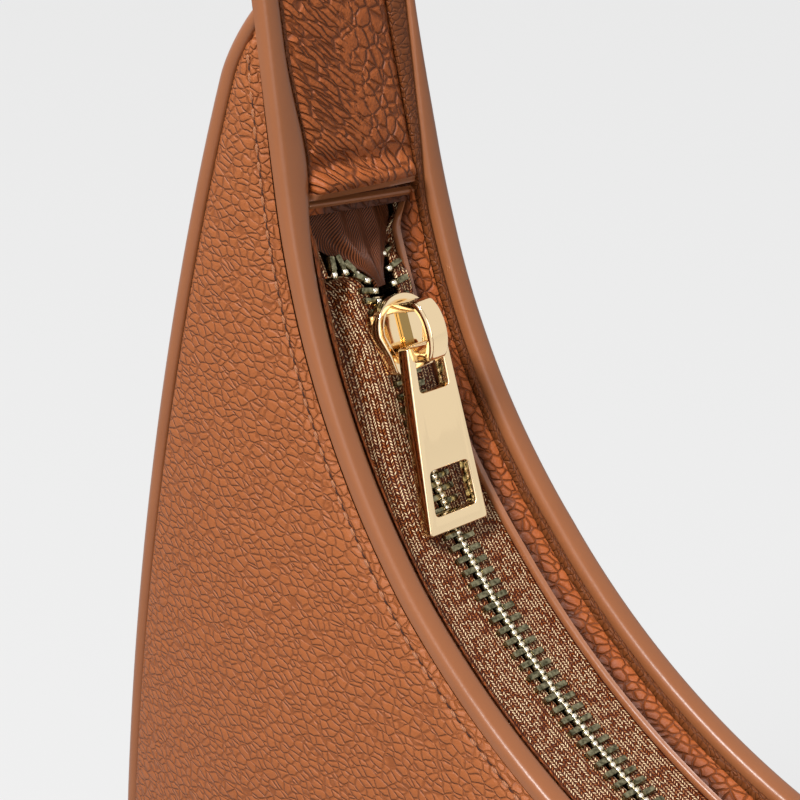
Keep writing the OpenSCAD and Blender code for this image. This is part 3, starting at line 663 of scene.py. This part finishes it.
# Twill folds: bias-cut polyester twill, doubled over the zip's ends and pleated in the middle.
def twill_cloth(name, light, dark):
    material, nodes = fresh(name)
    place = add(nodes, "TexCoord").outputs["UV"]
    turned = add(nodes, "Mapping", {"Vector": place, "Rotation": (0, 0, math.radians(38))})
    rib = add(nodes, "TexWave", {"Vector": turned.outputs[0], "Scale": 0.9, "Distortion": 0.5,
                                 "Detail": 2.0}).outputs["Fac"]
    fuzz = add(nodes, "TexNoise", {"Vector": place, "Scale": 4.0, "Detail": 3.0})
    height = add(nodes, "Math", {0: fuzz.outputs["Fac"], 1: 0.3, 2: rib}, operation="MULTIPLY_ADD")
    # The same ribs that set the relief also set the colour: painted highlight on the crests, painted shade in
    # the grooves
    covered(nodes, height.outputs[0], 0.12, {"Base Color": blend(nodes, rib, dark, light), "Roughness": 0.45,
                                             "Specular IOR Level": 0.25})
    return material


# Polyester twill: fine steep ribs, about 0.35 mm apart, with the dull lustre of a lining; the ribs' crests are
# painted light and their grooves near black, as painted highlight and painted shade
twill = twill_cloth("polyester_twill", "#84492A", "#240D05")
twill_n = 48


def twill_corner(u, v, end):
    """At the slider's end the twill reaches in between the parted rows as a wedge; the other is square."""
    w, below = around(v, twill_n)
    a = 2 * w - 1
    start, reach, crest, fall = 72.4, 9.6, 5.2, 0.2
    if end < 0:
        start, reach, crest = 69.9, mix(0.9, reach, ease(u / 0.62)), mix(1.9, crest, ease(u / 0.8))
        fall = 2.9 * abs(a) ** 1.4 * ease(u * 1.6)
    pleats = 0.55 * math.sin(a * 7.5 + 2.2 * u) * ease(u * 2.5) + 0.3 * math.sin(a * 15 - 3 * u) * ease(u * 2)
    q = min(crest + fall + pleats + 0.9, 8.2) if below else min(crest + fall + pleats, 7.6)
    return by_line(end * mouth_r * math.radians(mix(start, 78.6, u)), a * reach, q)


for end, word in ends:
    bm = closed_up(laid(48, 2 * twill_n, lambda u, v: twill_corner(u, v, end),
                        mouth_r * math.radians(7.8), 40))
    fold = made(bm, f"{word}_twill_cloth", twill, sharp=60)
    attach(fold, "bag")
    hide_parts(f"{word}_twill_fold")

# Zip tapes: woven polyester, 0.8 mm thick, with a cord along the teeth. Above the closed slider the two
# tapes part and curl aside with their last teeth.
# The zip's line, the slider's lower arc, where the closed slider's nose is and where the rows part inside it,
# and for each side the radius of the free end's curl and its drop
zip_r, rise = mouth_r + 7, 7.3
path_r = zip_r - rise
slider_l, nose_x = 13.5, -6.48
part_x, part_slope = 1.0, 0.3
curls = {-1: (6.5, 0.02), 1: (15, 0.07)}
tape_deg, tape_t, tape_in, sewn_q = 77, 0.8, 4.1, 6.6
last_tooth_deg = 65


def zip_deg(length):
    return math.degrees(length / zip_r)


zip_end_deg, end_gap = 75, 19.46
closed = zip_end_deg - zip_deg(end_gap)
rise_start, rise_end = closed - zip_deg(slider_l * 2.9), closed - zip_deg(slider_l * 0.56)


def path_at(t):
    return rise * math.cos(math.radians(t)) + math.sqrt(path_r ** 2 - (rise * math.sin(math.radians(t))) ** 2)


def zip_at(t):
    """Distance of the zip's line from the mouth's middle: it rises to the slider's arc at both ends."""
    a = abs(t)
    return mix(zip_r, path_at(t), ease((a - rise_start) / (rise_end - rise_start)))


def past_nose(t):
    """How far, in mm, angle t lies above the closed slider's nose."""
    return max(0, math.radians(-closed - t) * zip_r + nose_x)


def woven_tape(name, light, middle, dark):
    """Herringbone: columns of slanting threads, each thread's spot with its own shine. The colour goes near
    black between the threads, as painted shade, and near white where a spot shines, as painted highlight.
    """
    material, nodes = fresh(name)
    place = add(nodes, "TexCoord").outputs["UV"]
    wild = add(nodes, "TexNoise", {"Vector": place, "Scale": 0.9, "Detail": 3.0})
    bent = add(nodes, "VectorMath", {0: wild.outputs["Color"], 1: (0.22, 0.22, 0), 2: place},
               operation="MULTIPLY_ADD")
    flat = add(nodes, "SeparateXYZ", {0: bent.outputs[0]})
    column = add(nodes, "Math", {0: flat.outputs["Y"], 1: 0.7}, operation="DIVIDE")
    lean = add(nodes, "Math", {0: flat.outputs["Y"], 1: 0.7}, operation="PINGPONG")
    along = add(nodes, "Math", {0: lean.outputs[0], 1: 0.95, 2: flat.outputs["X"]}, operation="MULTIPLY_ADD")
    row = add(nodes, "Math", {0: along.outputs[0], 1: 0.52}, operation="DIVIDE")
    parts = []
    for value in (column, row):
        part = add(nodes, "Math", {0: value.outputs[0], 1: 0.5}, operation="PINGPONG")
        parts.append(add(nodes, "MapRange", {"Value": part.outputs[0], "From Min": 0.06, "From Max": 0.34},
                         interpolation_type="SMOOTHSTEP"))
    grain = add(nodes, "Math", {0: parts[0].outputs[0], 1: parts[1].outputs[0]}, operation="MULTIPLY")
    spot = [add(nodes, "Math", {0: value.outputs[0], 1: 1.0}, operation="SNAP") for value in (column, row)]
    cell = add(nodes, "CombineXYZ", {0: spot[0].outputs[0], 1: spot[1].outputs[0]})
    chance = add(nodes, "TexWhiteNoise", {"Vector": cell.outputs[0]})
    # Painted highlight: each thread's spot gets its own random brightness, and the brightest turn near white
    shine = add(nodes, "MapRange", {"Value": chance.outputs["Value"], "To Min": 0.25, "To Max": 1.15})
    level = add(nodes, "Math", {0: grain.outputs[0], 1: shine.outputs[0]}, operation="MULTIPLY")
    ramp = add(nodes, "ValToRGB", {0: level.outputs[0]})
    ramp.color_ramp.elements[0].position, ramp.color_ramp.elements[0].color = 0.14, linear(dark)
    ramp.color_ramp.elements[1].position, ramp.color_ramp.elements[1].color = 0.8, linear(light)
    ramp.color_ramp.elements.new(0.4).color = linear(middle)
    covered(nodes, grain.outputs[0], 0.16, {"Base Color": ramp.outputs[0], "Roughness": 0.42,
                                            "Specular IOR Level": 0.2})
    return material


# Woven polyester tape in herringbone: threads 0.5 mm apart in columns of 0.7 mm that flash light and dark:
# painted highlights and painted shade over the tape's brown
tape_cloth = woven_tape("herringbone_zip_tape", "#FFE2B4", "#B5672F", "#451403")


def tape_inner(t, curl_r):
    """Half the gap between the tapes: they part in the slider and curl aside above it."""
    s = math.radians(-closed - t) * zip_r
    beyond = min(past_nose(t), curl_r * 0.86)
    steep = max(0, past_nose(t) - curl_r * 0.86) * 5
    parted = max(0, min(s + part_x, part_x - nose_x)) * part_slope
    return 1 + parted + curl_r - math.sqrt(curl_r ** 2 - beyond ** 2) + steep


def tape_corner(u, v, side):
    """Across the tape: flat by the teeth, a drop beside the slider, and flat again under the facing."""
    curl_r, drop = curls[side]
    t = mix(-tape_deg, tape_deg, u)
    w, below = around(v, 40)
    outer = half_width(math.radians(t)) - tape_in
    inner = min(tape_inner(t, curl_r), outer - 4.0)
    y = mix(inner, outer, w)
    b = past_nose(t) if t < 0 else max(0, math.radians(t - last_tooth_deg) * zip_r)
    high = min(zip_at(t) - mouth_r - tape_t / 2 + (drop if t < 0 else 0.07) * b * b, sewn_q)
    q = mix(high, sewn_q, ease((y - max(6.3, inner + 1.2)) / 2.0))
    cord = 0.35 * math.exp(-((y - inner - 0.6) / 0.35) ** 2)
    cord += 0.2 * math.exp(-((y - inner - 3.0) / 0.25) ** 2)
    return by_line(mouth_r * math.radians(t), side * y, q + (tape_t if below else -cord))


for side, word in sides:
    bm = closed_up(laid(520, 80, lambda u, v: tape_corner(u, v, side),
                        2 * mouth_r * math.radians(tape_deg), measured=True))
    tape = made(bm, f"{word}_tape_cloth", tape_cloth, sharp=60)
    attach(tape, "bag")
    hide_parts(f"{word}_zip_tape")

# Teeth: single brass teeth clamped on the tapes' edges, in antique finish; the domes of their heads are
# polished brass made near white, a painted glint.
def tooth_brass(name, dark, bright):
    material, nodes = fresh(name)
    place = add(nodes, "TexCoord").outputs["Object"]
    spots = add(nodes, "TexNoise", {"Vector": place, "Scale": 1500.0, "Detail": 3.0}).outputs["Fac"]
    ramp = add(nodes, "ValToRGB", {0: spots})
    ramp.color_ramp.elements[0].position, ramp.color_ramp.elements[0].color = 0.35, linear(dark)
    ramp.color_ramp.elements[1].position, ramp.color_ramp.elements[1].color = 0.7, linear(bright)
    rough = add(nodes, "MapRange", {"Value": spots, "To Min": 0.3, "To Max": 0.12})
    covered(nodes, spots, 0.03, {"Base Color": ramp.outputs[0], "Metallic": 1.0,
                                 "Roughness": rough.outputs[0]})
    return material


# Antique brass, dipped dark: olive grey, with paler spots at random
tooth_metal = tooth_brass("antique_brass", "#4E4A36", "#A09878")
# The domes of the tooth heads: polished brass, its colour lifted to near white as a painted glint
head_glint_brass = tooth_brass("brass_head_painted_glint", "#E8DFC4", "#FFFAEC")
pitch, free_teeth = 2.38, {-1: 5, 1: 4}


def on_chain(t, y=0, z=0):
    """Matrix of the zip's own frame at t degrees: x along the chain, z towards the arc's middle."""
    a = math.radians(t)
    r = zip_at(t)
    lean = math.atan(math.degrees(zip_at(t + 0.5) - zip_at(t - 0.5)) / r)
    base = Vector((r * math.sin(a), 0, mouth_z - r * math.cos(a))) * mm
    turn = Matrix(((math.cos(a), 0, -math.sin(a)), (0, 1, 0), (math.sin(a), 0, math.cos(a)))).to_4x4()
    turn = turn @ Matrix.Rotation(lean, 4, "Y")
    return Matrix.Translation(base) @ turn @ Matrix.Translation((0, y * mm, z * mm))


bm = bmesh.new()
bmesh.ops.create_cube(bm, size=1, matrix=sized(0, 1.85, 0, (1.15, 2.6, 3)))
bmesh.ops.bevel(bm, geom=bm.edges[:], offset=0.3 * mm, segments=2, affect="EDGES", profile=0.5, material=-1)
bmesh.ops.create_cube(bm, size=1, matrix=sized(0, 0.05, 0, (0.95, 1.7, 2.3)))
body_n = len(bm.faces)
# The head's dome takes the near-white metal: a painted glint
bmesh.ops.create_uvsphere(bm, u_segments=10, v_segments=6, radius=0.5,
                          matrix=sized(0, -0.1, 0.85, (1.3, 1.4, 1.4)))
bm.faces.ensure_lookup_table()
for face in bm.faces[body_n:]:
    face.material_index = 1
tooth = bpy.data.meshes.new("tooth")
bm.to_mesh(tooth)
bm.free()


def row_of_teeth(side):
    """Teeth along the closed zip, those parting inside the slider, and the free ones that curl aside."""
    curl_r, drop = curls[side]
    shift = 0.5 if side > 0 else 0
    spots = []
    row_t = closed - zip_deg(part_x + 1.05)
    step = zip_deg(pitch)
    for i in range(math.floor((row_t + last_tooth_deg - 1) / step)):
        spots.append(on_chain(-row_t + (i + shift) * step))
    for i in range(1, math.floor((part_x - nose_x) / pitch) + 1):
        x = part_x - (i - shift) * pitch
        spots.append(on_chain(-closed + zip_deg(x), side * (part_x - x) * part_slope)
                     @ Matrix.Rotation(side * math.atan(part_slope), 4, "Z"))
    for i in range(free_teeth[side]):
        a = (i + 0.7) * pitch / curl_r
        b = curl_r * math.sin(a)
        y = (part_x - nose_x) * part_slope + curl_r * (1 - math.cos(a))
        spots.append(on_chain(-closed + zip_deg(nose_x - b), side * y, -drop * b * b)
                     @ Matrix.Rotation(-2 * drop * b, 4, "Y") @ Matrix.Rotation(side * a, 4, "Z"))
    bm = bmesh.new()
    for spot in spots:
        start = len(bm.verts)
        bm.from_mesh(tooth)
        bm.verts.ensure_lookup_table()
        bmesh.ops.transform(bm, matrix=spot @ Matrix.Diagonal((1, side, 1, 1)), verts=bm.verts[start:])
    bmesh.ops.recalc_face_normals(bm, faces=bm.faces)
    return bm


for side, word in sides:
    row = made(row_of_teeth(side), f"{word}_brass_teeth", tooth_metal, head_glint_brass)
    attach(row, "bag")
    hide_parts(f"{word}_teeth")


def coated(words, material):
    """The CAD nodes of these names stay as they are and take the material."""
    for word in words:
        cad[word].data.materials.clear()
        cad[word].data.materials.append(material)


coated(["bottom_stop"], tooth_metal)

# Slider: zinc casting in a lasting light gold plating. The body is two plates on a neck, the bridge an arch
# along it that holds the pull, with a spring leaf beneath.
def plated(name, colour, rough):
    material, nodes = fresh(name)
    place = add(nodes, "TexCoord").outputs["Object"]
    cloud = add(nodes, "TexNoise", {"Vector": place, "Scale": 250.0, "Detail": 3.0}).outputs["Fac"]
    shine = add(nodes, "MapRange", {"Value": cloud, "To Min": rough, "To Max": rough + 0.08})
    covered(nodes, cloud, 0.02, {"Base Color": linear(colour), "Metallic": 1.0,
                                 "Roughness": shine.outputs[0]}, strength=0.6)
    return material


# Light gold plating on polished zinc: a mirror, slightly softened, pale and warm
gold = plated("light_gold_plating", "#FBE0B4", 0.05)
# Spring steel tinted like the casting, and a little duller
spring_steel = plated("tinted_spring_steel", "#A88A55", 0.12)
slider_at = on_chain(-closed)
plate_low, plate_top = 2.1, 3.6


def d_shape(inset=0.0):
    """Outline of the slider's plates: round at the nose, narrower at the tail."""
    corners = [(3.4, 4.9 - inset), (6.4 - inset, 4.4 - inset), (7.02 - inset, 3.8 - inset)]
    nose_r, turns = 6.2 - inset, [math.radians(mix(90, 270, i / 28)) for i in range(29)]
    nose = [(-0.28 + nose_r * math.cos(a), nose_r * math.sin(a)) for a in turns]
    return nose + [(x, -y) for x, y in corners] + corners[::-1]


def cast_part(outlines, z0, z1, bevel, place):
    """Flat casting between two heights with rounded edges: its own outline in mm, then its holes'."""
    shape = bpy.data.curves.new("outline", "CURVE")
    shape.dimensions, shape.fill_mode = "2D", "BOTH"
    shape.extrude, shape.bevel_depth, shape.offset = ((z1 - z0) / 2 - bevel) * mm, bevel * mm, -bevel * mm
    shape.bevel_resolution = 3
    for outline in outlines:
        line = shape.splines.new("POLY")
        line.points.add(len(outline) - 1)
        for point, (x, y) in zip(line.points, outline):
            point.co = (x * mm, y * mm, 0, 1)
        line.use_cyclic_u = True
    flat = bpy.data.objects.new("outline", shape)
    mesh = bpy.data.meshes.new_from_object(flat)
    bpy.data.objects.remove(flat)
    bm = bmesh.new()
    bm.from_mesh(mesh)
    bmesh.ops.remove_doubles(bm, verts=bm.verts, dist=0.001 * mm)
    bmesh.ops.transform(bm, matrix=place @ Matrix.Translation((0, 0, (z0 + z1) / 2 * mm)), verts=bm.verts)
    bmesh.ops.recalc_face_normals(bm, faces=bm.faces)
    return bm


def joined(parts):
    whole = bmesh.new()
    for part in parts:
        mesh = bpy.data.meshes.new("part")
        part.to_mesh(mesh)
        part.free()
        whole.from_mesh(mesh)
        bpy.data.meshes.remove(mesh)
    return whole


flange = [(6.8, 4.1), (3.2, 4.6), (-1.2, 5.75), (-3.9, 5.75), (-3.9, 5.15), (-3.1, 5.15), (2.1, 3.5),
          (6.8, 3.5)]
neck = [(-6.0, -0.6), (-3.9, -0.6), (-2.9, 0), (-3.9, 0.6), (-6.0, 0.6)]
# The two plates, the raised frame on them, the neck between them, and their flanges beside the teeth
parts = [cast_part([d_shape()], plate_low, plate_top, 0.35, slider_at),
         cast_part([d_shape()], -plate_top, -plate_low, 0.35, slider_at),
         cast_part([d_shape(), d_shape(1.35)], 3.2, 4.3, 0.3, slider_at),
         cast_part([neck], -2.4, 2.4, 0, slider_at)]
for side in (-1, 1):
    outline = [(x, side * y) for x, y in flange]
    parts += [cast_part([outline], 0.9, 2.3, 0, slider_at), cast_part([outline], -2.3, -0.9, 0, slider_at)]
body = made(joined(parts), "slider_casting", gold, sharp=50)
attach(body, "slider")
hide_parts("slider_body")

# Share of the arch's length that is a straight leg, at each end
leg_f = 0.16


def bridge_corner(u, v):
    """The arch stands on the nose and the tail; its section is a band with rounded edges."""
    a = math.pi * min(1 - leg_f, max(leg_f, u))
    nx, nz = math.cos(a), math.sin(a)
    x, z = 0.27 + 5.1 * nx, 7.65 + 4.0 * nz ** 0.8
    if u < leg_f or u > 1 - leg_f:
        nx, nz, z = math.copysign(1, 0.5 - u), 0.0, mix(3.5, z, min(u, 1 - u) / leg_f)
    b = 2 * math.pi * round(v * 24) / 24
    y = 1.95 * math.copysign(abs(math.cos(b)) ** 0.35, math.cos(b))
    out = 0.9 * math.copysign(abs(math.sin(b)) ** 0.35, math.sin(b))
    return x + nx * out, y, z + nz * out


bm = closed_up(laid(60, 24, bridge_corner))
bmesh.ops.transform(bm, matrix=slider_at, verts=bm.verts)
bridge = made(bm, "slider_arch", gold, sharp=70)
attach(bridge, "slider")
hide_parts("slider_bridge")
coated(["lock_spring"], spring_steel)

# Pull: cast with the slider's finish, 33 mm long, with a round bar through its head, an eye below the bar and
# a window near its end. It lies on the teeth, turned a little to the front.
bar_x, bar_z, rest, turned = 3.27, 7.2, math.radians(3.027), math.radians(-2.2)
pull_at = slider_at @ Matrix.Translation((bar_x * mm, 0, bar_z * mm))
pull_at = pull_at @ Matrix.Rotation(rest, 4, "Y") @ Matrix.Rotation(turned, 4, "Z")


def rounded(points, r, n=5):
    """Closed outline through the points, with each corner rounded."""
    out = []
    for i, here in enumerate(points):
        here, before, after = [Vector(points[j % len(points)]) for j in (i, i - 1, i + 1)]
        start, end = here + (before - here).normalized() * r, here + (after - here).normalized() * r
        for k in range(n + 1):
            f = k / n
            out.append(tuple((1 - f) ** 2 * start + 2 * f * (1 - f) * here + f * f * end))
    return out


outline = rounded([(-0.8, -4.6), (32.0, -6.8), (32.0, 6.8), (-0.8, 4.6)], 0.8)
eye = rounded([(1.0, -3.1), (7.4, -3.3), (7.4, 3.3), (1.0, 3.1)], 0.9)
window = rounded([(20.9, -4.4), (29.0, -4.75), (29.0, 4.75), (20.9, 4.4)], 1.0)
parts = [cast_part([outline, eye, window], -1.3, 1.3, 0.28, pull_at)]
bm = bmesh.new()
bmesh.ops.create_cone(bm, cap_ends=True, segments=32, radius1=1.05 * mm, radius2=1.05 * mm, depth=8.4 * mm,
                      matrix=pull_at @ Matrix.Rotation(math.pi / 2, 4, "X"))
pull = made(joined(parts + [bm]), "pull_casting", gold, sharp=50)
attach(pull, "pull")
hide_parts("pull_tab")

# Inside: cotton lining cloth on stiffened walls, a slip pocket and the board under the base.
def lining_cloth(name, light, dark):
    material, nodes = fresh(name)
    place = add(nodes, "TexCoord").outputs["Object"]
    warp, weft = [add(nodes, "TexWave", {"Vector": place, "Scale": 420.0, "Distortion": 0.6},
                      bands_direction=way).outputs["Fac"] for way in ("X", "Z")]
    cross = add(nodes, "Math", {0: warp, 1: weft}, operation="MULTIPLY").outputs[0]
    covered(nodes, cross, 0.15, {"Base Color": blend(nodes, cross, dark, light), "Roughness": 0.8, "IOR": 1.5,
                                 "Sheen Weight": 0.2}, strength=0.8)
    return material


# Cotton lining, plain weave, brown; its threads are drawn coarser than life so that they show
cotton = lining_cloth("cotton_lining", "#8A5E3E", "#6A4228")
# Bonded leather board, pale and dull
board = lining_cloth("stiffening_board", "#B8A890", "#9C8C74")
coated(["front_lining", "back_lining", "gusset_lining", "slip_pocket"], cotton)
coated(["front_stiffener", "back_stiffener", "strap_filler", "base_board"], board)

# Floor: a plain pale sweep. It shows the photograph's grey to the camera and to gloss, and keeps a shadow.
def clear_sight(nodes):
    """1 for the camera's own rays and those by way of gloss or glass, 0 for light that falls on things."""
    rays = add(nodes, "LightPath").outputs
    seen = add(nodes, "Math", {0: rays["Is Camera Ray"], 1: rays["Is Glossy Ray"]}, operation="MAXIMUM")
    seen = add(nodes, "Math", {0: seen.outputs[0], 1: rays["Is Transmission Ray"]}, operation="MAXIMUM")
    return seen.outputs[0]


bm = bmesh.new()
bmesh.ops.create_grid(bm, x_segments=1, y_segments=1, size=6)
pale, nodes = fresh("pale_sweep")
floor = made(bm, "floor", pale)
matt = add(nodes, "BsdfDiffuse", {"Color": linear("#8C8C8C")})
glow = add(nodes, "Emission", {"Color": linear("#EDEDED"), "Strength": 1.03})
chalk = add(nodes, "BsdfDiffuse", {"Color": linear("#E6E6E6")})
shown = add(nodes, "MixShader", {0: 0.88, 1: chalk.outputs[0], 2: glow.outputs[0]})
both = add(nodes, "MixShader", {0: clear_sight(nodes), 1: matt.outputs[0], 2: shown.outputs[0]})
add(nodes, "OutputMaterial", {"Surface": both.outputs[0]})

# Light: a lamp high in front, which leaves the zip's front half in the rim's shade, a weaker and wider one from
# the right, and pale surroundings.
world = bpy.data.worlds.new("studio")
bpy.context.scene.world = world
world.use_nodes = True
nodes = world.node_tree.nodes
nodes.clear()
level = add(nodes, "MapRange", {"Value": clear_sight(nodes), "To Min": 0.3, "To Max": 1.0})
sky = add(nodes, "Background", {"Color": linear("#EDEDED"), "Strength": level.outputs[0]})
add(nodes, "OutputWorld", {"Surface": sky.outputs[0]})


def lamp(name, spot, aim, size, watts):
    light = bpy.data.lights.new(name, "AREA")
    light.shape, light.size, light.energy = "DISK", size, watts
    holder = bpy.data.objects.new(name, light)
    holder.location = spot
    holder.rotation_euler = (Vector(aim) - Vector(spot)).to_track_quat("-Z", "Y").to_euler()
    bpy.context.collection.objects.link(holder)


mouth_end = (-0.1, 0, 0.2)
lamp("key", (0.0, -0.75, 1.2), mouth_end, 0.3, 20.0)
lamp("fill", (0.9, -0.5, 0.6), mouth_end, 0.9, 4.0)

# Camera: close to the bag's upper left end, from its right front and a little above.
lens = bpy.data.cameras.new("camera")
lens.lens, lens.sensor_width = 99.0, 36.0
lens.clip_start, lens.clip_end = 0.02, 20.0
camera = bpy.data.objects.new("camera", lens)
azimuth, elevation, distance = math.radians(47.4), math.radians(25.0), 0.385
aim = Vector((-0.107, 0, 0.191))
level = math.cos(elevation)
away = Vector((level * math.sin(azimuth), -level * math.cos(azimuth), math.sin(elevation)))
camera.location = aim + away * distance
camera.rotation_euler = (-away).to_track_quat("-Z", "Y").to_euler()
bpy.context.collection.objects.link(camera)
bpy.context.scene.camera = camera
bpy.context.scene.view_settings.view_transform = "Standard"
